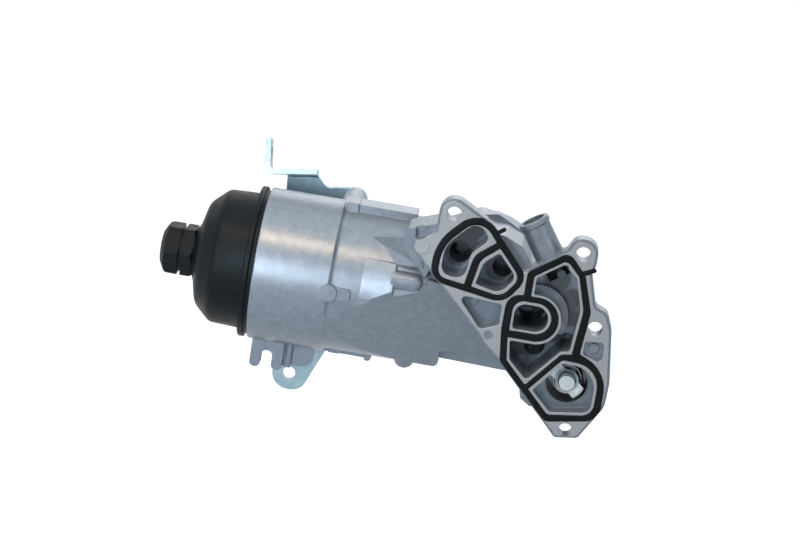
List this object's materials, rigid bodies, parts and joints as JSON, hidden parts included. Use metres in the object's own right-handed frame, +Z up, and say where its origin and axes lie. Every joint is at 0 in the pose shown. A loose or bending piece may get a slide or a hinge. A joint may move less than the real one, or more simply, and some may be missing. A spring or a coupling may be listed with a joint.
{
  "type": "oil filter housing",
  "caption": "Flange-mounted cast oil filter housing with a screw cap over a paper element, face seals, thermostat, hose nozzle, bracket and oil cooler.",
  "frame": {"origin": "centre of the upper left bolt hole on the machined flange face that meets the engine", "axes": "+X along the filter axis from the cap towards the flange, +Y away from the engine face, +Z up"},
  "size_m": [0.262, 0.0992, 0.1517],
  "materials": {
    "cast_aluminium": "fine sand-cast grain",
    "cap_plastic": "matt moulded",
    "rubber": "satin",
    "filter_paper": "pleated",
    "core_plastic": "satin",
    "spring_steel": "bright wire",
    "bright_steel": "bright pressed",
    "zinc_steel": "blue zinc plated",
    "cooler_aluminium": "brazed plate"
  },
  "bodies": {
    "housing": {"housing_casting": "cast_aluminium", "small_face_seal": "rubber", "large_face_seal": "rubber", "stand_pipe": "cap_plastic", "bypass_spring": "spring_steel", "bypass_spring_holder": "spring_steel", "thermostat_frame": "bright_steel", "thermostat_spring": "spring_steel", "steel_bracket": "zinc_steel", "bracket_screws": "zinc_steel", "cooler_base_plate": "cooler_aluminium", "cooler_core": "cooler_aluminium", "cooler_screws": "zinc_steel"},
    "filter_element": {"filter_media": "filter_paper", "element_core": "core_plastic", "element_end_disc_cap_side": "core_plastic", "element_end_disc_bowl_side": "core_plastic"},
    "cap": {"screw_cap": "cap_plastic", "cap_o_ring": "rubber"},
    "bypass_disc": {"bypass_valve_disc": "cap_plastic"},
    "thermostat_capsule": {"thermostat_valve": "bright_steel"}
  },
  "joints": [
    {"name": "cap_lift", "type": "slide", "parent": "housing", "child": "filter_element", "axis": [-1, 0, 0], "range_m": [0, 0.016]},
    {"name": "cap_turn", "type": "hinge", "parent": "filter_element", "child": "cap", "pos_m": [-0.13, 0.046, -0.0578], "axis": [-1, 0, 0], "range_deg": [0, 1440]},
    {"name": "bypass_lift", "type": "slide", "parent": "housing", "child": "bypass_disc", "axis": [1, 0, 0], "range_m": [0, 0.004], "stiffness_N_per_m": 1500, "springref_m": -0.004, "deforming": ["bypass_spring"]},
    {"name": "thermostat_lift", "type": "slide", "parent": "housing", "child": "thermostat_capsule", "axis": [0, -1, 0], "range_m": [0, 0.005], "stiffness_N_per_m": 4000, "springref_m": -0.004, "deforming": ["thermostat_spring"]}
  ],
  "couplings": [
    {"joint": "cap_turn", "follows": "cap_lift", "rad_per_m": 1570.8}
  ]
}
